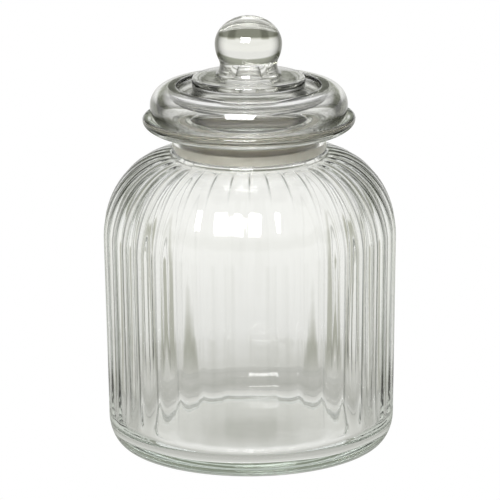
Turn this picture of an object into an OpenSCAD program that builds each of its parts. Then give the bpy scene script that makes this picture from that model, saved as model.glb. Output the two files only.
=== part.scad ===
// Ribbed glass storage jar: blown jar, hollow glass lid with a solid ball knob,
// and the grooved flexible ring that seals the lid's plug in the neck.
// Origin at the centre of the foot, +Z up, millimetres.

/* [Jar body] */
// Outer diameter over the ribs where the shoulder begins
body_d = 179; // [150:1:230]
// Outer diameter where the wall meets the rounded heel
base_d = 175.8; // [145:0.2:225]
// Height at which the wall ends and the shoulder begins
shoulder_z = 131.5; // [90:0.5:200]
// Rise of the rounded shoulder from the wall up to the neck
shoulder_rise = 50.8; // [35:0.2:75]
// Horizontal reach of the rounded heel
heel_reach = 11; // [8:0.5:20]
// Height of the rounded heel
heel_rise = 18; // [8:0.5:24]
// Thickness of the wall, measured from the bottom of the flutes
wall_t = 4; // [2.5:0.1:6]

/* [Ribs] */
// Number of ribs round the body
rib_count = 36; // [16:4:48]
// Depth of the valleys between the ribs
rib_depth = 1.2; // [0.4:0.1:1.6]
// Height where the ribs start to rise out of the plain wall
rib_start_z = 20; // [19:1:40]
// Height over which the ribs reach their full depth
rib_fade = 22; // [10:1:40]

/* [Base] */
// Thickness of the floor over the push-up
floor_t = 6; // [3:0.5:16]
// Height of the push-up under the floor
punt_h = 4; // [1:0.5:8]
// Width of the flat ring that the jar stands on
foot_w = 14; // [5:0.5:18]
// Height of the foot ring below the heel
foot_h = 0.6; // [0.3:0.1:1.5]
// Step from the heel's lower edge in to the foot ring
foot_step = 0.5; // [0.3:0.1:2]
// Radius of the rounding between the floor and the inside of the wall
inner_heel_r = 12; // [6:0.5:24]

/* [Neck and lip] */
// Diameter of the neck's bore
bore_d = 86; // [66:1:92]
// Thickness of the neck
neck_t = 4; // [2.5:0.1:6]
// Height of the straight neck above the shoulder
neck_h = 13.3; // [9:0.1:20]
// Outer diameter of the flared lip
lip_d = 129.6; // [124:0.2:150]
// Thickness of the lip where it leaves the neck
lip_t = 3.3; // [2.5:0.1:5]
// Slope of the lip's upper face above level, outside the lid's seat
lip_slope = 34; // [28:1:42]
// Radius of the lip's rounded rim
lip_edge = 2.3; // [1.5:0.1:3]

/* [Lid] */
// Radial distance from the lip's edge in to the lid's edge
lid_inset = 4.6; // [2:0.1:6]
// Radius of the rounded roll at the lid's edge
roll_r = 12.9; // [10:0.1:15.5]
// Thickness of the lid's glass
lid_t = 4; // [2.5:0.1:5.5]
// Width of the groove between the roll and the raised centre
groove_w = 9.5; // [6:0.5:10]
// Depth of the groove below the roll
groove_depth = 7; // [6:0.5:9]
// Height of the raised centre's edge above the roll
centre_rise = 4.9; // [0.5:0.1:7]
// Further rise of the centre from its edge to the stem
centre_crown = 1.2; // [0.4:0.1:5]
// Depth of the plug below the top of the neck's straight bore
plug_depth = 17.5; // [12:0.5:18]

/* [Knob] */
// Diameter of the ball
knob_d = 40.8; // [36:0.2:48]
// Height of the ball's flattened upper half
knob_top_h = 17; // [10:0.5:24]
// Diameter of the stem under the ball
stem_d = 34.6; // [16:0.2:35]
// Height of the stem from the lid up to the ball
stem_h = 8; // [3:0.5:14]
// Width of the flare at the foot of the stem
stem_flare = 3; // [1:0.1:5]
// Height of the core, the part of the lid's hollow that runs up inside the stem
core_h = 13; // [4:0.5:14]
// Radius of the core at its lower end
core_low_r = 8.5; // [5:0.5:10]
// Radius of the core at its upper end
core_top_r = 6; // [3:0.5:8]

/* [Seal ring] */
// Thickness of the ring's sleeve
seal_t = 1.6; // [0.8:0.1:2.2]
// Reach of a sealing band from the sleeve
band_reach = 2.3; // [1.5:0.1:3]
// Number of sealing bands round the sleeve
band_count = 2; // [2:1:4]
// Width of the grooves between the bands
band_gap = 2.2; // [1:0.1:2.4]
// Height of the bead under the ring that keeps it on the plug
bead_h = 2; // [1:0.5:3]
// Amount that the bead stands out past the inside of the ring
bead_out = 2; // [1:0.1:2.4]

/* [Clearances] */
// Gap between the lid and the lip
seat_gap = 0.4; // [0.2:0.1:1]
// Gap between the seal ring and the neck's bore
bore_gap = 0.3; // [0.2:0.05:0.6]
// Gap between the seal ring and the plug
plug_gap = 0.3; // [0.2:0.05:0.6]

/* [Hidden] */

// Distance from the neck over which the ribs reach their full depth.
rib_neck_run = 6;
// Points across one rib: valley, flank, crest, flank.
rib_points = 4;
// Degrees between the rings of points that make up a rounded stretch.
heel_step = 15;
shoulder_step = 9;
// Radius of the raised centre's edge.
centre_edge = 1.2;
// Points along a rounded stretch of a turned outline.
arc_steps = 12;
fine_steps = 20;
// How far a piece runs into its neighbour in the same solid, or a cut past it.
overlap = 1;

body_r = body_d / 2;
base_r = base_d / 2;
bore_r = bore_d / 2;
neck_r = bore_r + neck_t;

// Heights of the jar.
heel_top_z = foot_h + heel_rise;
neck_z = shoulder_z + shoulder_rise;
floor_z = punt_h + floor_t;
heel_low_r = base_r - heel_reach;
foot_r = heel_low_r - foot_step;

// The lid's roll nests in the lip: below the roll the lip's upper face follows it at the
// seat gap, then runs straight out and up to the rim.
lip_r = lip_d / 2;
under_lip_z = neck_z + neck_h;
mouth_z = under_lip_z + lip_t;
lid_r = lip_r - lid_inset;
roll_c_r = lid_r - roll_r;
roll_c_z = mouth_z + seat_gap + roll_r;
seat_r = roll_r + seat_gap;
rim_r = lip_r - lip_edge;
rim_z = roll_c_z + (rim_r - roll_c_r) * tan(lip_slope) - (seat_r + lip_edge) / cos(lip_slope);

// The groove starts this many degrees past the roll's outermost point.
groove_angle = 105;
groove_r = roll_c_r + roll_r * cos(groove_angle);
groove_half = groove_w / 2;
groove_c_r = groove_r - groove_half;
groove_low_z = roll_c_z + roll_r - groove_depth;
centre_r = groove_r - groove_w;
centre_z = roll_c_z + roll_r + centre_rise;
stem_r = stem_d / 2;
stem_z = centre_z + centre_crown;
knob_r = knob_d / 2;
ball_z = stem_z + stem_h + sqrt(knob_r * knob_r - stem_r * stem_r);

// The seal ring fills the neck's bore round the plug.
seal_out_r = bore_r - bore_gap;
sleeve_r = seal_out_r - band_reach;
seal_in_r = sleeve_r - seal_t;
plug_r = seal_in_r - plug_gap;
plug_in_r = plug_r - lid_t;
plug_z = mouth_z - plug_depth;
seal_low_z = plug_z + bead_h + plug_gap;
seal_top_z = mouth_z - plug_gap;

// Points along part of an ellipse about [cr, cz], from angle a0 to a1.
function arc(cr, cz, a, b, a0, a1, steps) =
    [for (i = [0:steps]) let (t = a0 + (a1 - a0) * i / steps) [cr + a * cos(t), cz + b * sin(t)]];

// Share of the full rib depth at a point of the outline: none at the heel and at the neck.
function rib_share(r, z) =
    min(1, max(0, (z - rib_start_z) / rib_fade)) * min(1, max(0, (r - neck_r) / rib_neck_run));

// Rings of the body's outer surface as [radius, height], from the foot to the neck.
body_rings = concat(
    [for (a = [0:heel_step:90]) [heel_low_r + heel_reach * sin(a), foot_h + heel_rise * (1 - cos(a))]],
    [for (s = [0.12, 0.3, 0.65]) [base_r + (body_r - base_r) * s, heel_top_z + (shoulder_z - heel_top_z) * s]],
    [for (a = [0:shoulder_step:90 - shoulder_step])
        [neck_r + (body_r - neck_r) * cos(a), shoulder_z + shoulder_rise * sin(a)]],
    [[neck_r - overlap, neck_z]]
);

module ribbed_body() {
    ring_points = rib_count * rib_points;
    rings = len(body_rings);
    points = [for (ring = body_rings) for (i = [0:ring_points - 1])
        let (t = 360 * i / ring_points,
             dip = 1 - abs(sin(180 * i / rib_points)),
             r = ring[0] - rib_depth * dip * rib_share(ring[0], ring[1]))
        [r * cos(t), r * sin(t), ring[1]]];
    sides = [for (k = [0:rings - 2]) for (i = [0:ring_points - 1])
        let (j = (i + 1) % ring_points, low = k * ring_points, high = low + ring_points)
        each [[low + i, high + i, high + j], [low + i, high + j, low + j]]];
    bottom = [[for (i = [0:ring_points - 1]) i]];
    top = [[for (i = [ring_points - 1:-1:0]) (rings - 1) * ring_points + i]];
    polyhedron(points, concat(sides, bottom, top), convexity = 4);
}

// Neck and lip, turned in one outline that is solid down to the axis.
module neck_and_lip() {
    rotate_extrude()
        polygon(concat(
            [[0, neck_z - 3 * overlap], [neck_r, neck_z - 3 * overlap]],
            arc(neck_r, rim_z, lip_r - neck_r, rim_z - under_lip_z, -90, 0, fine_steps),
            arc(rim_r, rim_z, lip_edge, lip_edge, 0, lip_slope + 90, arc_steps),
            arc(roll_c_r, roll_c_z, seat_r, seat_r, lip_slope - 90, -90, arc_steps),
            [[0, mouth_z]]
        ));
}

// Everything that is air inside the jar: floor, wall, shoulder, bore and lip.
module jar_inside() {
    low_r = base_r - wall_t - rib_depth;
    high_r = body_r - wall_t - rib_depth;
    wall_low_z = floor_z + inner_heel_r;
    top_rise = shoulder_rise - wall_t;
    rotate_extrude()
        polygon(concat(
            [[0, floor_z]],
            arc(low_r - inner_heel_r, wall_low_z, inner_heel_r, inner_heel_r, -90, 0, arc_steps),
            arc(bore_r, shoulder_z, high_r - bore_r, top_rise, 0, 90, fine_steps),
            [[bore_r, mouth_z + 2 * overlap], [0, mouth_z + 2 * overlap]]
        ));
}

module jar() {
    color([0.86, 0.93, 0.89, 0.4])
        difference() {
            union() {
                ribbed_body();
                cylinder(r = foot_r, h = foot_h + overlap);
                neck_and_lip();
            }
            jar_inside();
            // Push-up under the floor, inside the foot ring.
            rotate_extrude()
                polygon(concat(
                    [[0, -overlap], [foot_r - foot_w, -overlap], [foot_r - foot_w, 0]],
                    arc(foot_r - foot_w - punt_h, 0, punt_h, punt_h, 0, 90, arc_steps),
                    [[0, punt_h]]
                ));
        }
}

module seal_ring() {
    band_h = (seal_top_z - seal_low_z + band_gap) / band_count - band_gap;
    color([0.80, 0.79, 0.72])
        rotate_extrude()
            polygon(concat(
                [[seal_in_r, seal_low_z]],
                [for (i = [0:band_count - 1]) let (z = seal_low_z + i * (band_h + band_gap))
                    each [[sleeve_r, z], [seal_out_r, z], [seal_out_r, z + band_h], [sleeve_r, z + band_h]]],
                [[seal_in_r, seal_top_z]]
            ));
}

// Outer outline of the lid, from the knob's top down to the plug's rim.
module lid_outline() {
    stem_angle = acos(stem_r / knob_r);
    polygon(concat(
        arc(0, ball_z, knob_r, knob_top_h, 90, 0, arc_steps),
        arc(0, ball_z, knob_r, knob_r, -stem_angle / 3, -stem_angle, arc_steps),
        arc(stem_r + stem_flare, stem_z + stem_h, stem_flare, stem_h, 180, 270, arc_steps),
        arc(centre_r - centre_edge, centre_z - centre_edge, centre_edge, centre_edge, 90, 0, arc_steps),
        arc(groove_c_r, groove_low_z + groove_half, groove_half, groove_half, -180, 0, arc_steps),
        arc(roll_c_r, roll_c_z, roll_r, roll_r, groove_angle, -90, fine_steps),
        [[plug_r, mouth_z + seat_gap]],
        [[plug_r, plug_z + bead_h], [plug_r + bead_out, plug_z + bead_h], [plug_r + bead_out, plug_z]],
        [[0, plug_z]]
    ));
}

// Hollow of the lid, open through the plug, everywhere lid_t inside the outer outline.
module lid_hollow() {
    inner_r = roll_r - lid_t;
    hollow_angle = acos((groove_r + lid_t - roll_c_r) / inner_r);
    under_groove = groove_half + lid_t;
    core_z = stem_z - lid_t;
    polygon(concat(
        [[0, plug_z - overlap], [plug_in_r, plug_z - overlap], [plug_in_r, roll_c_z - inner_r]],
        arc(roll_c_r, roll_c_z, inner_r, inner_r, -90, hollow_angle, fine_steps),
        arc(groove_c_r, groove_low_z + groove_half, under_groove, under_groove, 0, -180, arc_steps),
        [[centre_r - lid_t, centre_z - lid_t], [core_low_r, core_z]],
        [[core_top_r, core_z + core_h], [0, core_z + core_h]]
    ));
}

module lid() {
    color([0.80, 0.80, 0.75, 0.5])
        rotate_extrude()
            difference() {
                lid_outline();
                lid_hollow();
            }
}

jar();
seal_ring();
lid();
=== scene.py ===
"""Ribbed glass storage jar: mould-blown jar, hollow glass lid with a ball knob, and a grooved seal ring."""

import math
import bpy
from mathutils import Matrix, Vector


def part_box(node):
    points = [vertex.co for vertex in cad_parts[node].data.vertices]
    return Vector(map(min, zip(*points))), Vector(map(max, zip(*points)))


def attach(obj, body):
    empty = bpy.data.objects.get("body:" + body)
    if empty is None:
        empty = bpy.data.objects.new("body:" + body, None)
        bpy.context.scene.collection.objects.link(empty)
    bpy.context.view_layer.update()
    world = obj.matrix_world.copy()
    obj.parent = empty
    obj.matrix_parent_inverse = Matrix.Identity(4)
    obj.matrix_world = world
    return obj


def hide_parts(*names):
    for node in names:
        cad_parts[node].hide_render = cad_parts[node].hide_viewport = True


bl_info = {
    "name": "Ribbed Storage Jar",
    "version": (1, 0, 0),
    "blender": (4, 5, 0),
    "location": "View3D > Sidebar > Storage Jar",
    "description": "Builds a ribbed glass storage jar with its lid and seal around a fixed frame",
    "category": "Object",
}

import bpy
from mathutils import Matrix, Vector, noise

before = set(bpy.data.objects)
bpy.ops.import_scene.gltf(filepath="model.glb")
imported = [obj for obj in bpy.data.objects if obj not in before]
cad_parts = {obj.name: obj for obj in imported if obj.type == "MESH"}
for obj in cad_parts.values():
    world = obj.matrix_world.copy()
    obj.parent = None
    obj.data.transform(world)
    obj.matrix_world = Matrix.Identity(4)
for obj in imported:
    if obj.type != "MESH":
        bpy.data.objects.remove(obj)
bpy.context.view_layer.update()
LID_LOW, LID_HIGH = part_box("lid")
SEAL_LOW, SEAL_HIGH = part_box("seal_ring")

MM = 0.001


# ---------------------------------------------------------------- outlines

def arc(centre, radii, start, end, steps):
    """Points on an ellipse about centre, from start to end in degrees."""
    turn = [math.radians(start + (end - start) * i / steps) for i in range(steps + 1)]
    return [(centre[0] + radii[0] * math.cos(t), centre[1] + radii[1] * math.sin(t)) for t in turn]


def fillet(points, radii, steps=6):
    """The open outline with each corner that has a radius rounded by a parabola."""
    rounded = [points[0]]
    for before, corner, after, radius in zip(points, points[1:], points[2:], radii):
        if not radius:
            rounded.append(corner)
            continue
        b, c, a = Vector(before), Vector(corner), Vector(after)
        p = c + (b - c).normalized() * min(radius, (b - c).length * 0.49)
        q = c + (a - c).normalized() * min(radius, (a - c).length * 0.49)
        for i in range(steps + 1):
            t = i / steps
            rounded.append(tuple(p.lerp(c, t).lerp(c.lerp(q, t), t)))
    rounded.append(points[-1])
    return rounded


def spaced(points, step):
    """The outline with stretches longer than step cut into shorter ones, and doubled points dropped."""
    out = [Vector(points[0])]
    for point in points[1:]:
        last, here = out[-1], Vector(point)
        length = (here - last).length
        if length < 1e-6:
            continue
        cuts = max(1, round(length / step))
        out.extend(last.lerp(here, i / cuts) for i in range(1, cuts + 1))
    return out


# ------------------------------------------------------------------ meshes

def turned(name, outline, angles, shape=None):
    """A closed mesh turned about Z from an outline that starts and ends on the axis, or that closes on
    itself. shape(point, angle, index) gives each vertex."""
    shape = shape or (lambda p, a, i: (p[0] * math.cos(a), p[0] * math.sin(a), p[1]))
    on_axis = outline[0][0] < 1e-7
    rows = outline[1:-1] if on_axis else outline
    n, m = len(angles), len(rows)
    verts = [shape(p, a, k) for k, p in enumerate(rows) for a in angles]
    faces = []
    for k in range(m if not on_axis else m - 1):
        low, high = k * n, ((k + 1) % m) * n
        faces += [(low + i, low + (i + 1) % n, high + (i + 1) % n, high + i) for i in range(n)]
    if on_axis:
        verts += [(0, 0, outline[0][1]), (0, 0, outline[-1][1])]
        top = (m - 1) * n
        faces += [(n * m, (i + 1) % n, i) for i in range(n)]
        faces += [(n * m + 1, top + i, top + (i + 1) % n) for i in range(n)]
    mesh = bpy.data.meshes.new(name)
    mesh.from_pydata(verts, [], faces)
    mesh.validate()
    mesh.shade_smooth()
    piece = bpy.data.objects.new(name, mesh)
    bpy.context.scene.collection.objects.link(piece)
    return piece


def even_angles(count):
    return [2 * math.pi * i / count for i in range(count)]


def rib_angles(ribs, columns):
    """Angles round the jar, closer together in the valleys between the ribs."""
    crowd = 0.55
    out = []
    for i in range(ribs * columns):
        t = i / columns
        out.append(2 * math.pi * (t + crowd * math.sin(2 * math.pi * t) / (2 * math.pi)) / ribs)
    return out


def wave(x, y, z, size, seed):
    """Smooth, seeded unevenness of about -1 to 1 with humps of the given size."""
    return noise.noise(Vector((x / size + seed * 7.3, y / size - seed * 3.1, z / size + seed * 5.7)))


def on_line(start, end, z):
    """The point at height z on the straight line from start to end."""
    share = (z - start[1]) / (end[1] - start[1])
    return start[0] + (end[0] - start[0]) * share, z


def ramp(value, low, high):
    """0 up to low, 1 from high on, and a straight rise between them."""
    return min(1, max(0, (value - low) / (high - low)))


def valley(wall):
    """1 in the valley between two ribs to 0 on a rib, for a wall of 0 in the valley and 1 on the rib."""
    rounding = 0.0004
    low = math.sqrt(rounding)
    return 1 - (math.sqrt(wall + rounding) - low) / (math.sqrt(1 + rounding) - low)


# --------------------------------------------------------------- materials

WHITE = (1.0, 1.0, 1.0, 1.0)


def linear(hex_colour):
    """An sRGB hex colour as linear RGBA."""
    parts = [int(hex_colour[i:i + 2], 16) / 255 for i in (1, 3, 5)]
    return tuple(c / 12.92 if c <= 0.04045 else ((c + 0.055) / 1.055) ** 2.4 for c in parts) + (1.0,)


def add(tree, kind, settings=None, values=None, links=None):
    """One node: attributes in settings, socket values in values, and links from other nodes' sockets."""
    node = tree.nodes.new(kind)
    for key, value in (settings or {}).items():
        setattr(node, key, value)
    for key, value in (values or {}).items():
        node.inputs[key].default_value = value
    for key, source in (links or {}).items():
        tree.links.new(source, node.inputs[key])
    return node


def stepped_colour(tree, source, stops):
    """Colours over source, through stops of position and sRGB hex colour."""
    node = add(tree, "ShaderNodeValToRGB", links={"Fac": source})
    levels = node.color_ramp.elements
    while len(levels) < len(stops):
        levels.new(0.5)
    for level, (position, hex_colour) in zip(levels, stops):
        level.position, level.color = position, linear(hex_colour)
    return node.outputs["Color"]


def darken(tree, colour, tint, share=None):
    """The colour multiplied by the tint, in full or by the given share."""
    node = add(tree, "ShaderNodeMix", {"data_type": "RGBA", "blend_type": "MULTIPLY"}, {"Factor": 1.0})
    for key, source in (("A", colour), ("B", tint), ("Factor", share)):
        if isinstance(source, tuple):
            node.inputs[key].default_value = source
        elif source:
            tree.links.new(source, node.inputs[key])
    return node.outputs["Result"]


def smooth(tree, source, low, high, start, end):
    """A smooth step over source, from start at low to end at high."""
    values = {"From Min": low, "From Max": high, "To Min": start, "To Max": end}
    return add(tree, "ShaderNodeMapRange", {"interpolation_type": "SMOOTHSTEP"}, values,
               {"Value": source}).outputs["Result"]


def product(tree, first, *others):
    """All the sources multiplied."""
    for other in others:
        first = add(tree, "ShaderNodeMath", {"operation": "MULTIPLY"}, links={0: first, 1: other}).outputs[0]
    return first


def seen_edge_on(tree):
    """0 on a surface that faces the view, 1 on one that is seen edge on."""
    return add(tree, "ShaderNodeLayerWeight", values={"Blend": 0.5}).outputs["Facing"]


def round_axis(tree, where):
    """Distance from the Z axis, direction round it, and height, of a point."""
    place = add(tree, "ShaderNodeSeparateXYZ", links={"Vector": where})
    x, y, z = (place.outputs[axis] for axis in "XYZ")
    flat = add(tree, "ShaderNodeCombineXYZ", links={"X": x, "Y": y})
    away = add(tree, "ShaderNodeVectorMath", {"operation": "LENGTH"}, links={0: flat.outputs[0]})
    around = add(tree, "ShaderNodeMath", {"operation": "ARCTAN2"}, links={0: y, 1: x})
    return away.outputs["Value"], around.outputs[0], z


def humps(tree, around, count):
    """0 to 1 and back to 0, count times round the axis."""
    turn = add(tree, "ShaderNodeMath", {"operation": "MULTIPLY"}, {1: count / 2}, {0: around})
    swing = add(tree, "ShaderNodeMath", {"operation": "SINE"}, links={0: turn.outputs[0]})
    return add(tree, "ShaderNodeMath", {"operation": "ABSOLUTE"}, links={0: swing.outputs[0]}).outputs[0]


def new_material(name):
    material = bpy.data.materials.new(name)
    material.use_nodes = True
    material.node_tree.nodes.clear()
    return material, material.node_tree


def painted_edge_shade(tree, p, slant):
    """White, with the edge shade colour where the glass is seen nearly edge on: painted shade."""
    return darken(tree, WHITE, tuple(p.edge_shade_colour), smooth(tree, slant, 0.70, 1.0, 0, 1))


def clear_glass(tree, where, tint, p, ripple_size, seed):
    """Soda-lime glass of IOR 1.52 with a fire-polished skin: no roughness, but slow ripples that bend
    what is seen through it. Its body colour deepens with the thickness that light goes through."""
    ripples = add(tree, "ShaderNodeTexNoise", {"noise_dimensions": "4D"},
                  {"Scale": 1 / ripple_size, "Detail": 1.0, "W": seed}, {"Vector": where})
    bump = add(tree, "ShaderNodeBump", values={"Strength": p.ripple, "Distance": 0.1 * MM},
               links={"Height": ripples.outputs["Fac"]})
    surface = add(tree, "ShaderNodeBsdfPrincipled",
                  values={"IOR": 1.52, "Roughness": 0.0, "Transmission Weight": 1.0},
                  links={"Base Color": tint, "Normal": bump.outputs["Normal"]})
    volume = add(tree, "ShaderNodeVolumeAbsorption", values={"Color": p.body_colour, "Density": p.density})
    add(tree, "ShaderNodeOutputMaterial",
        links={"Surface": surface.outputs["BSDF"], "Volume": volume.outputs["Volume"]})


def jar_glass(p):
    """Mould-blown glass: a faint green in its thick parts. It carries painted shade where it is seen edge on.
    The valleys between the ribs are tinted with painted shade, so that they show as dark lines where they are
    seen at a slant."""
    material, tree = new_material("clear soda-lime glass, mould-blown")
    where = add(tree, "ShaderNodeTexCoord").outputs["Object"]
    slant = seen_edge_on(tree)
    tint = painted_edge_shade(tree, p, slant)
    _, around, height = round_axis(tree, where)
    full_rib = p.rib_start + p.rib_fade + 3 * MM
    neck_z = p.shoulder_z + p.shoulder_rise
    # Painted shade: dark lines in the valleys between the ribs where they are seen at a slant.
    in_valley = smooth(tree, humps(tree, around, p.ribs), 0.03, 0.26, 1, 0)
    above_heel = smooth(tree, height, p.rib_start, full_rib, 0, 1)
    below_neck = smooth(tree, height, neck_z - 2.3 * MM, neck_z - 0.3 * MM, 1, 0)
    at_slant = smooth(tree, slant, 0.08, 0.42, 0, 0.95)
    share = product(tree, in_valley, above_heel, below_neck, at_slant)
    tint = darken(tree, tint, tuple(p.valley_shade_colour), share)
    clear_glass(tree, where, tint, p, 9 * MM, 1.0)
    return material


def lid_glass(p, inner_r, outer_r, well_z):
    """Pressed glass, a little greyer than the jar. It carries painted shade where it is seen edge on, in the
    groove, which runs from inner_r to outer_r with its rounding about well_z, and on upright faces that are
    seen at a slant."""
    material, tree = new_material("clear soda-lime glass, pressed")
    where = add(tree, "ShaderNodeTexCoord").outputs["Object"]
    slant = seen_edge_on(tree)
    tint = painted_edge_shade(tree, p, slant)
    away, _, height = round_axis(tree, where)
    # Painted shade in the groove of the roll.
    in_groove = product(tree, smooth(tree, away, outer_r - 1.0 * MM, outer_r + 0.4 * MM, 1, 0),
                        smooth(tree, away, inner_r - 0.6 * MM, inner_r + 0.6 * MM, 0, 1),
                        smooth(tree, height, well_z - 6 * MM, well_z - 1 * MM, 0, 1))
    tint = darken(tree, tint, tuple(p.groove_shade_colour), in_groove)
    # Painted shade on upright faces seen at a slant.
    normal = add(tree, "ShaderNodeNewGeometry").outputs["Normal"]
    up = add(tree, "ShaderNodeSeparateXYZ", links={"Vector": normal}).outputs["Z"]
    level = add(tree, "ShaderNodeMath", {"operation": "ABSOLUTE"}, links={0: up}).outputs[0]
    upright = smooth(tree, level, 0.35, 0.8, 1, 0)
    at_slant = smooth(tree, slant, 0.22, 0.60, 0, 1)
    tint = darken(tree, tint, tuple(p.upright_shade_colour), product(tree, upright, at_slant))
    clear_glass(tree, where, tint, p, 7 * MM, 3.0)
    return material


def seal_plastic(p):
    """Flexible PVC, moulded: milky, with a soft gloss, and faintly yellowed in clouds of about 11 mm. It is
    greyer from the groove between its bands upwards: painted shade."""
    material, tree = new_material("flexible PVC")
    where = add(tree, "ShaderNodeTexCoord").outputs["Object"]
    cloud = add(tree, "ShaderNodeTexNoise", values={"Scale": 90.0, "Detail": 4.0}, links={"Vector": where})
    grain = add(tree, "ShaderNodeTexNoise", values={"Scale": 1400.0, "Detail": 2.0}, links={"Vector": where})
    colour = add(tree, "ShaderNodeMix", {"data_type": "RGBA"}, {"A": p.yellowed_colour, "B": p.fresh_colour},
                 {"Factor": cloud.outputs["Fac"]})
    height = add(tree, "ShaderNodeSeparateXYZ", links={"Vector": where}).outputs["Z"]
    middle = (SEAL_LOW.z + SEAL_HIGH.z) / 2
    # Painted shade, strongest in the groove between the bands and weaker above it.
    painted_band_shade = product(tree, smooth(tree, height, middle - 2 * MM, middle - 1 * MM, 0, 1),
                    smooth(tree, height, middle + 1 * MM, middle + 4 * MM, 1, 0.25))
    colour = darken(tree, colour.outputs["Result"], tuple(p.band_shade_colour), painted_band_shade)
    rough = add(tree, "ShaderNodeMapRange", values={"To Min": 0.25, "To Max": 0.5},
                links={"Value": grain.outputs["Fac"]})
    bump = add(tree, "ShaderNodeBump", values={"Strength": 0.15, "Distance": 0.05 * MM},
               links={"Height": grain.outputs["Fac"]})
    surface = add(tree, "ShaderNodeBsdfPrincipled", values={"IOR": 1.45, "Transmission Weight": 0.1},
                  links={"Base Color": colour, "Roughness": rough.outputs["Result"],
                         "Normal": bump.outputs["Normal"]})
    add(tree, "ShaderNodeOutputMaterial", links={"Surface": surface.outputs["BSDF"]})
    return material


# -------------------------------------------------------------- properties

def size(name, text, default):
    return bpy.props.FloatProperty(name=name, description=text, default=default, unit="LENGTH", precision=5)


def angle(name, text, degrees):
    return bpy.props.FloatProperty(name=name, description=text, default=math.radians(degrees),
                                   subtype="ANGLE")


def number(name, text, default):
    return bpy.props.FloatProperty(name=name, description=text, default=default)


def shade(name, text, hex_colour):
    return bpy.props.FloatVectorProperty(name=name, description=text, default=linear(hex_colour),
                                         subtype="COLOR", size=4, min=0, max=1)


class JarProperties(bpy.types.PropertyGroup):
    ribs: bpy.props.IntProperty(name="Ribs", description="Ribs round the body", default=36)
    rib_depth: size("Rib depth", "Depth of the valleys between the ribs", 0.0012)
    rib_start: size("Rib start", "Height where the ribs rise out of the plain wall", 0.020)
    rib_fade: size("Rib fade", "Height over which the ribs reach their full depth", 0.022)
    body_r: size("Body radius", "Outer radius over the ribs where the shoulder begins", 0.0895)
    base_r: size("Base radius", "Outer radius where the wall meets the heel", 0.0879)
    shoulder_z: size("Shoulder", "Height where the shoulder begins", 0.1315)
    shoulder_rise: size("Shoulder rise", "Rise of the shoulder up to the neck", 0.0508)
    heel_reach: size("Heel reach", "Horizontal reach of the rounded heel", 0.011)
    heel_rise: size("Heel rise", "Height of the rounded heel", 0.018)
    wall: size("Wall", "Thickness of the wall", 0.0040)
    inner_heel_r: size("Inner heel", "Rounding between the floor and the inside of the wall", 0.012)
    floor_z: size("Floor", "Height of the inside floor", 0.010)
    punt_h: size("Push-up", "Height of the push-up under the floor", 0.004)
    foot_w: size("Foot width", "Width of the ring that the jar stands on", 0.014)
    foot_h: size("Foot height", "Height of the foot ring below the heel", 0.0006)
    foot_step: size("Foot step", "Step from the heel in to the foot ring", 0.0005)
    neck_h: size("Neck", "Straight neck above the shoulder", 0.0133)
    neck_t: size("Neck thickness", "Thickness of the neck", 0.004)
    lip_r: size("Lip radius", "Outer radius of the flared lip", 0.0648)
    lip_t: size("Lip thickness", "Thickness of the lip where it leaves the neck", 0.0033)
    lip_edge: size("Lip edge", "Radius of the lip's rounded rim", 0.0023)
    lip_slope: angle("Lip slope", "Slope of the lip's upper face", 34)
    seat_gap: size("Seat gap", "Gap between the lid and the lip", 0.0004)
    bore_gap: size("Bore gap", "Gap between the seal ring and the neck's bore", 0.0003)
    outer_wave: size("Outer wave", "Unevenness of the wall's outside", 0.00015)
    inner_wave: size("Inner wave", "Unevenness of the wall's inside", 0.0003)
    floor_wave: size("Floor wave", "Unevenness of the inside floor", 0.0005)
    rib_echo: number("Rib echo", "Share of the ribs' depth that shows inside", 0.6)
    # Painted shade: darkens the jar's glass where it is seen edge on.
    edge_shade_colour: shade("Edge shade colour", "Tint of the glass where it is seen edge on", "#9bae9f")
    # Painted shade in the valleys between the ribs.
    valley_shade_colour: shade("Valley shade colour", "Tint of the valleys between the ribs", "#4a504b")
    body_colour: shade("Body colour", "Colour that the glass takes on with its thickness", "#93b195")
    density: number("Density", "How fast the body colour deepens", 4.0)
    ripple: number("Ripple", "Strength of the skin's ripples", 0.3)


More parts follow.
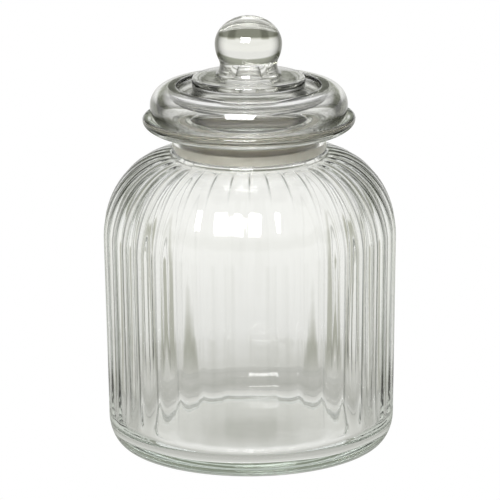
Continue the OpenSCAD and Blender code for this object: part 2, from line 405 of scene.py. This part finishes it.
class LidProperties(bpy.types.PropertyGroup):
    roll_r: size("Roll radius", "Radius of the rounded roll", 0.0129)
    glass_t: size("Glass", "Thickness of the lid's glass", 0.004)
    groove_w: size("Groove", "Width of the groove inside the roll", 0.0095)
    groove_depth: size("Groove depth", "Depth of the groove below the roll", 0.007)
    groove_angle: angle("Groove angle", "Angle round the roll where the groove starts", 105)
    centre_rise: size("Centre rise", "Height of the raised centre above the roll", 0.0049)
    centre_crown: size("Centre crown", "Rise of the centre from its edge to the stem", 0.0012)
    plug_gap: size("Plug gap", "Gap between the seal ring and the plug", 0.0003)
    bead_h: size("Bead height", "Height of the bead that keeps the ring on the plug", 0.002)
    bead_out: size("Bead reach", "Reach of the bead from the plug", 0.002)
    knob_r: size("Knob radius", "Radius of the ball", 0.0204)
    knob_top: size("Knob top", "Height of the ball's upper half", 0.017)
    stem_r: size("Stem radius", "Radius of the stem", 0.0173)
    stem_h: size("Stem height", "Height of the stem", 0.008)
    stem_flare: size("Stem flare", "Flare at the foot of the stem", 0.003)
    core_h: size("Core height", "Height of the hollow that runs up inside the stem", 0.013)
    core_low_r: size("Core foot", "Radius of the stem's hollow at its lower end", 0.0085)
    core_top_r: size("Core top", "Radius of the stem's hollow at its upper end", 0.006)
    wave: size("Wave", "Unevenness of the roll, the groove and the knob", 0.00012)
    # Painted shade: near-black on the lid's glass where it is seen edge on.
    edge_shade_colour: shade("Edge shade colour", "Tint of the glass where it is seen edge on", "#16170f")
    # Painted shade in the lid's groove.
    groove_shade_colour: shade("Groove shade colour", "Tint of the groove", "#5c5e54")
    # Painted shade on the lid's upright faces.
    upright_shade_colour: shade("Upright shade colour", "Tint of upright faces seen at a slant", "#2e2f27")
    body_colour: shade("Body colour", "Colour that the glass takes on with its thickness", "#c4c6aa")
    density: number("Density", "How fast the body colour deepens", 5.0)
    ripple: number("Ripple", "Strength of the skin's ripples", 0.25)


class SealProperties(bpy.types.PropertyGroup):
    sleeve_t: size("Sleeve", "Thickness of the ring's sleeve", 0.0016)
    band_reach: size("Band reach", "Reach of a sealing band from the sleeve", 0.0023)
    band_gap: size("Band gap", "Width of the grooves between the bands", 0.0022)
    press: size("Press", "Depth to which the bands wet the glass that they press on", 0.00004)
    bands: bpy.props.IntProperty(name="Bands", description="Sealing bands round the sleeve", default=2)
    yellowed_colour: shade("Yellowed colour", "Colour of the clouds in the plastic", "#e9e3d2")
    fresh_colour: shade("Fresh colour", "Colour of the plastic between the clouds", "#fbf7ea")
    # Painted shade in the groove between the bands and above it.
    band_shade_colour: shade("Band shade colour", "Tint of the plastic near the groove", "#b3ad9e")


class StageProperties(bpy.types.PropertyGroup):
    distance: size("Camera distance", "Distance of the camera from the point it looks at", 2.278)
    elevation: angle("Camera elevation", "Height of the camera above level", 15.02)
    aim_z: size("Aim height", "Height of the point that the camera looks at", 0.1207)
    lens: number("Lens", "Focal length in millimetres", 267.3)
    roll: angle("Roll", "Turn of the camera about its own line of sight", 0.45)
    paper: size("Paper", "Half the width of the paper", 6.0)
    window_place: bpy.props.FloatVectorProperty(name="Window place", description="Centre of the window",
                                                default=(-0.24, -1.12, 1.11), subtype="TRANSLATION")
    window_w: size("Window width", "Width of the window", 0.8)
    window_h: size("Window height", "Height of the window", 0.7)
    window_power: number("Window power", "Light that the window gives, in watts", 36.0)


# --------------------------------------------------------------- operators

def seat(jar, lid):
    """Bore radius, height of the bore's top, and the centre of the roll that nests in the lip."""
    mouth_z = jar.shoulder_z + jar.shoulder_rise + jar.neck_h + jar.lip_t
    return SEAL_HIGH.x + jar.bore_gap, mouth_z, LID_HIGH.x - lid.roll_r, mouth_z + jar.seat_gap + lid.roll_r


def jar_outside(p, lid):
    """The jar's outside, from the axis under the floor to the lip's rim."""
    bore_r, _, roll_c, roll_z = seat(p, lid)
    neck_r = bore_r + p.neck_t
    neck_z = p.shoulder_z + p.shoulder_rise
    under_lip = neck_z + p.neck_h
    rim_r = p.lip_r - p.lip_edge
    rim_z = roll_z + (rim_r - roll_c) * math.tan(p.lip_slope)
    rim_z -= (lid.roll_r + p.seat_gap + p.lip_edge) / math.cos(p.lip_slope)
    heel_low = p.base_r - p.heel_reach
    foot_r = heel_low - p.foot_step
    foot_in = foot_r - p.foot_w
    under = fillet([(0, p.punt_h), (foot_in - p.punt_h, p.punt_h), (foot_in, 0), (foot_r, 0),
                    (foot_r, p.foot_h), (heel_low, p.foot_h)], [3 * MM, 2 * MM, 0.6 * MM, 0.2 * MM], 4)
    heel = arc((heel_low, p.foot_h + p.heel_rise), (p.heel_reach, p.heel_rise), -90, 0, 14)
    shoulder = arc((neck_r, p.shoulder_z), (p.body_r - neck_r, p.shoulder_rise), 0, 84, 28)
    lip_under = arc((neck_r, rim_z), (p.lip_r - neck_r, rim_z - under_lip), -88, 0, 16)
    neck = fillet([shoulder[-1], (neck_r, neck_z), (neck_r, under_lip), lip_under[1]], [2.2 * MM, 1.6 * MM])
    rim = arc((rim_r, rim_z), (p.lip_edge, p.lip_edge), 0, math.degrees(p.lip_slope) + 90, 8)
    full_rib = on_line(heel[-1], shoulder[0], p.rib_start + p.rib_fade)
    low = spaced(under, 6 * MM) + spaced(heel + [full_rib], 2.6 * MM)[1:]
    return low + spaced([full_rib] + shoulder + neck[1:] + lip_under[2:] + rim, 6 * MM)[1:]


def jar_inside(p, lid):
    """The jar's inside, from the bowl in the lip, where the lid's roll nests, to the axis on the floor."""
    bore_r, mouth_z, roll_c, roll_z = seat(p, lid)
    seat_r = lid.roll_r + p.seat_gap
    bore_low = p.shoulder_z + p.shoulder_rise - p.wall
    top_r = p.body_r - p.wall - p.rib_depth
    low_r = p.base_r - p.wall - p.rib_depth
    heel_r = p.inner_heel_r
    bowl = arc((roll_c, roll_z), (seat_r, seat_r), math.degrees(p.lip_slope) - 90, -90, 12)
    bore = fillet([bowl[-1], (bore_r, mouth_z), (bore_r, bore_low)], [1.5 * MM])
    shoulder = arc((bore_r, p.shoulder_z), (top_r - bore_r, p.shoulder_rise - p.wall), 90, 0, 28)
    heel = arc((low_r - heel_r, p.floor_z + heel_r), (heel_r, heel_r), 0, -90, 14)
    return spaced(bowl + bore[1:] + shoulder + heel + [(0, p.floor_z)], 6 * MM)


class JAR_OT_body(bpy.types.Operator):
    """Build the ribbed glass jar"""
    bl_idname = "storage_jar.body"
    bl_label = "Jar"

    def execute(self, context):
        p, lid = context.scene.jar_body, context.scene.jar_lid
        bore_r = seat(p, lid)[0]
        neck_r = bore_r + p.neck_t
        neck_z = p.shoulder_z + p.shoulder_rise
        outside, inside = jar_outside(p, lid), jar_inside(p, lid)

        def shape(point, a, k):
            """Ribs and slow waves. The waves die out at the foot and at the neck, where they would show as
            a tilt or touch the seal."""
            r, z = point
            x, y = math.cos(a), math.sin(a)
            wall = math.sin(p.ribs * a / 2) ** 2
            up = z / 0.12  # stretches the humps along the axis
            free = ramp(z, 4 * MM, 24 * MM) * ramp(neck_z - z, -5.7 * MM, 4.3 * MM)
            ribbed = ramp(z, p.rib_start, p.rib_start + p.rib_fade) * ramp(neck_z - z, 0, 1 * MM)
            if k < len(outside):
                r -= p.rib_depth * valley(wall) * ribbed * ramp(point[0], neck_r, neck_r + 6 * MM)
                r += p.outer_wave * wave(x, y, up, 0.55, 1) * free
            else:
                echo = p.rib_echo * (0.5 - wall ** 0.75)
                r -= p.rib_depth * echo * ribbed * ramp(point[0], bore_r, bore_r + 8 * MM)
                r += p.inner_wave * wave(x, y, up, 0.4, 2) * free
                on_floor = ramp(p.floor_z - z, -4 * MM, -1 * MM)
                z += p.floor_wave * wave(r * x / 0.05, r * y / 0.05, 0, 0.8, 4) * on_floor
            return r * x, r * y, z

        piece = turned("ribbed_jar", outside + inside[1:], rib_angles(p.ribs, 12), shape)
        piece.data.materials.append(jar_glass(p))
        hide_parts("jar")
        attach(piece, "jar")
        return {"FINISHED"}


class JAR_OT_lid(bpy.types.Operator):
    """Build the hollow glass lid with its ball knob"""
    bl_idname = "storage_jar.lid"
    bl_label = "Lid"

    def execute(self, context):
        jar, p, ring = context.scene.jar_body, context.scene.jar_lid, context.scene.jar_seal
        mouth_z, roll_c, roll_z = seat(jar, p)[1:]
        groove_r = roll_c + p.roll_r * math.cos(p.groove_angle)
        half = p.groove_w / 2
        well = (groove_r - half, roll_z + p.roll_r - p.groove_depth + half)
        centre = (groove_r - p.groove_w, roll_z + p.roll_r + p.centre_rise)
        stem_z = centre[1] + p.centre_crown

        ball_z = stem_z + p.stem_h + math.sqrt(p.knob_r ** 2 - p.stem_r ** 2)
        stem_angle = math.degrees(math.acos(p.stem_r / p.knob_r))
        outline = arc((0, ball_z), (p.knob_r, p.knob_top), 90, 0, 24)
        outline += arc((0, ball_z), (p.knob_r, p.knob_r), 0, -stem_angle + 4, 12)[1:]
        stem = arc((p.stem_r + p.stem_flare, stem_z + p.stem_h), (p.stem_flare, p.stem_h), 190, 270, 10)

        groove = arc(well, (half, half), 180, 360, 16)
        roll = arc((roll_c, roll_z), (p.roll_r, p.roll_r), math.degrees(p.groove_angle) - 6, -90, 48)
        disc = fillet([stem[-1], centre, groove[0]], [2.2 * MM])
        crest = (groove_r, roll_z + p.roll_r * math.sin(p.groove_angle))
        brow = fillet([groove[-1], crest, roll[0]], [1.6 * MM])
        outline += stem + disc[1:] + groove[1:] + brow[1:] + roll[1:]

        plug_r = SEAL_HIGH.x - ring.band_reach - ring.sleeve_t - p.plug_gap
        plug_in = plug_r - p.glass_t
        plug_z = LID_LOW.z
        bead_r, bead_z = plug_r + p.bead_out, plug_z + p.bead_h
        inner_r = p.roll_r - p.glass_t
        outline += fillet([roll[-1], (plug_r, mouth_z + jar.seat_gap), (plug_r, bead_z), (bead_r, bead_z),
                           (bead_r, plug_z), (plug_in, plug_z), (plug_in, roll_z - inner_r),
                           (roll_c, roll_z - inner_r)],
                          [1 * MM, 0.4 * MM, 0.6 * MM, 0.9 * MM, 1.2 * MM, 3 * MM])[1:]

        inner_end = math.degrees(math.acos((groove_r + p.glass_t - roll_c) / inner_r))
        outline += arc((roll_c, roll_z), (inner_r, inner_r), -90, inner_end, 36)[1:]
        under = arc(well, (half + p.glass_t, half + p.glass_t), 0, -180, 20)
        core_z = stem_z - p.glass_t
        roof = fillet([under[-1], (centre[0] - p.glass_t, centre[1] - p.glass_t), (p.core_low_r, core_z),
                       (p.core_top_r, core_z + p.core_h), (0, core_z + p.core_h)], [4 * MM, 2 * MM, 1.5 * MM])
        outline += under[1:] + roof[1:]

        def shape(point, a, k):
            """Slow waves above the seat in the lip, where the lid touches nothing."""
            r, z = point
            x, y = math.cos(a), math.sin(a)
            free = ramp(z, mouth_z + 6 * MM, mouth_z + 12 * MM) * ramp(r, 0, 10 * MM)
            r += p.wave * wave(x, y, z / 0.03, 0.6, 5) * free
            return r * x, r * y, z

        piece = turned("glass_lid", spaced(outline, 1.6 * MM)[::-1], even_angles(240), shape)
        piece.data.materials.append(lid_glass(p, groove_r - p.groove_w, groove_r, well[1]))
        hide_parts("lid")
        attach(piece, "lid")
        return {"FINISHED"}


class JAR_OT_seal(bpy.types.Operator):
    """Build the grooved seal ring"""
    bl_idname = "storage_jar.seal"
    bl_label = "Seal ring"

    def execute(self, context):
        p = context.scene.jar_seal
        sleeve_r = SEAL_HIGH.x - p.band_reach
        pressed_r = SEAL_HIGH.x + context.scene.jar_body.bore_gap + p.press
        inner_r = sleeve_r - p.sleeve_t
        low, high = SEAL_LOW.z, SEAL_HIGH.z
        band_h = (high - low + p.band_gap) / p.bands - p.band_gap
        points = [(inner_r, low)]
        for i in range(p.bands):
            z = low + i * (band_h + p.band_gap)
            points += [(sleeve_r, z), (pressed_r, z), (pressed_r, z + band_h), (sleeve_r, z + band_h)]
        points += [(inner_r, high), (inner_r, low)]
        rounding = [0.1 * MM, 0.9 * MM, 0.9 * MM, 0.5 * MM] * p.bands + [0.1 * MM]
        outline = [Vector(point) for point in fillet(points, rounding)[:-1]]
        piece = turned("seal_bands", outline, even_angles(192))
        piece.data.materials.append(seal_plastic(p))
        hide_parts("seal_ring")
        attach(piece, "seal")
        return {"FINISHED"}


# ------------------------------------------------------------------- stage

# Colour of the paper that the glass shows, by the distance in metres from the jar's axis: a painted shadow in
# grey rings under and round the jar.
PAPER = ((0.0, "#c8c8c3"), (0.016, "#cdcdc8"), (0.032, "#e2e2de"), (0.060, "#f0f0ec"), (0.074, "#c8c8c3"),
         (0.088, "#b2b2ac"), (0.100, "#b4b4ae"), (0.15, "#d2d2ce"), (0.26, "#eaeae7"), (0.50, "#f8f8f4"))
# The paper's sheen, by the slope at which it is seen: dark between the steep and the flat.
SHEEN = ((0.30, "#ffffff"), (0.46, "#85877a"), (0.65, "#85877a"), (0.68, "#deded8"), (0.71, "#ffffff"))
# Dark flags that stand between the eight main directions.
FLAGS = ((0.84, "#ffffff"), (0.96, "#b8b9ae"))
# Colour of the studio that the glass shows, by the sine of the height above the horizon.
ROOM = ((0.0, "#f4f4f2"), (0.12, "#f4f4f2"), (0.16, "#a3a699"), (0.34, "#94968a"), (0.42, "#f6f6f6"))


def white_to_camera(tree, colour):
    """The colour for rays that the glass sends, and plain white for what the camera sees past the glass."""
    path = add(tree, "ShaderNodeLightPath").outputs["Is Camera Ray"]
    return add(tree, "ShaderNodeMix", {"data_type": "RGBA"}, {"B": WHITE},
               {"Factor": path, "A": colour}).outputs["Result"]


def paper_sweep():
    """Paper that glows evenly white to the camera. What the glass shows of it is toned: in soft grey rings
    round the jar, a painted shadow, and darker at middle slopes and between the eight main directions."""
    material, tree = new_material("white paper sweep")
    away, around, _ = round_axis(tree, add(tree, "ShaderNodeNewGeometry").outputs["Position"])
    beyond = smooth(tree, away, 0.10, 0.22, 0, 1)
    near = smooth(tree, away, 0.72, 0.92, 1, 0)
    # Painted shadow: the paper greys in rings under and round the jar.
    paper = stepped_colour(tree, away, PAPER)
    paper = darken(tree, paper, stepped_colour(tree, seen_edge_on(tree), SHEEN), beyond)
    flags = stepped_colour(tree, humps(tree, around, 8), FLAGS)
    paper = darken(tree, paper, flags, product(tree, beyond, near))
    glow = add(tree, "ShaderNodeEmission", links={"Color": white_to_camera(tree, paper)})
    add(tree, "ShaderNodeOutputMaterial", links={"Surface": glow.outputs["Emission"]})
    return material


def studio():
    """Surroundings that are white to the camera and have a soft grey band for the glass."""
    world = bpy.data.worlds.new("studio")
    world.use_nodes = True
    tree = world.node_tree
    tree.nodes.clear()
    ray = add(tree, "ShaderNodeTexCoord").outputs["Generated"]
    height = add(tree, "ShaderNodeSeparateXYZ", links={"Vector": ray}).outputs["Z"]
    colour = white_to_camera(tree, stepped_colour(tree, height, ROOM))
    back = add(tree, "ShaderNodeBackground", links={"Color": colour})
    add(tree, "ShaderNodeOutputWorld", links={"Surface": back.outputs["Background"]})
    return world


class JAR_OT_stage(bpy.types.Operator):
    """Set the floor, the light and the camera"""
    bl_idname = "storage_jar.stage"
    bl_label = "Stage"

    def execute(self, context):
        scene = context.scene
        p = scene.jar_stage
        scene.view_settings.view_transform = "Standard"
        scene.cycles.max_bounces = 32
        scene.cycles.transmission_bounces = 32
        scene.cycles.glossy_bounces = 8
        scene.world = studio()

        mesh = bpy.data.meshes.new("floor")
        corners = [(x * p.paper, y * p.paper, 0) for x, y in ((-1, -1), (1, -1), (1, 1), (-1, 1))]
        mesh.from_pydata(corners, [], [(0, 1, 2, 3)])
        mesh.materials.append(paper_sweep())
        floor = bpy.data.objects.new("floor", mesh)
        scene.collection.objects.link(floor)

        light = bpy.data.lights.new("front window", "AREA")
        light.shape = "RECTANGLE"
        light.size, light.size_y, light.energy = p.window_w, p.window_h, p.window_power
        window = bpy.data.objects.new("front window", light)
        scene.collection.objects.link(window)
        window.location = p.window_place
        body_middle = Vector((0, 0, 0.15))
        window.rotation_euler = (body_middle - window.location).to_track_quat("-Z", "Y").to_euler()

        camera = bpy.data.objects.new("camera", bpy.data.cameras.new("camera"))
        camera.data.lens = p.lens
        camera.data.sensor_width = 36
        camera.data.clip_end = 30
        scene.collection.objects.link(camera)
        aim = Vector((0, 0, p.aim_z))
        camera.location = aim + p.distance * Vector((0, -math.cos(p.elevation), math.sin(p.elevation)))
        look = (aim - camera.location).to_track_quat("-Z", "Y").to_matrix()
        camera.rotation_euler = (look @ Matrix.Rotation(-p.roll, 3, "Z")).to_euler()
        scene.camera = camera
        return {"FINISHED"}


class JAR_PT_panel(bpy.types.Panel):
    """Buttons for the jar's pieces"""
    bl_label = "Storage Jar"
    bl_idname = "JAR_PT_panel"
    bl_space_type = "VIEW_3D"
    bl_region_type = "UI"
    bl_category = "Storage Jar"

    def draw(self, context):
        for operator in OPERATORS:
            self.layout.operator(operator.bl_idname)


OPERATORS = (JAR_OT_body, JAR_OT_seal, JAR_OT_lid, JAR_OT_stage)
GROUPS = {"jar_body": JarProperties, "jar_lid": LidProperties, "jar_seal": SealProperties,
          "jar_stage": StageProperties}


def register():
    for cls in (*GROUPS.values(), *OPERATORS, JAR_PT_panel):
        bpy.utils.register_class(cls)
    for name, group in GROUPS.items():
        setattr(bpy.types.Scene, name, bpy.props.PointerProperty(type=group))


def unregister():
    for name in GROUPS:
        delattr(bpy.types.Scene, name)
    for cls in (JAR_PT_panel, *OPERATORS, *GROUPS.values()):
        bpy.utils.unregister_class(cls)


def main():
    register()
    bpy.ops.storage_jar.body()
    bpy.ops.storage_jar.seal()
    bpy.ops.storage_jar.lid()
    bpy.ops.storage_jar.stage()


if __name__ == "__main__":
    main()
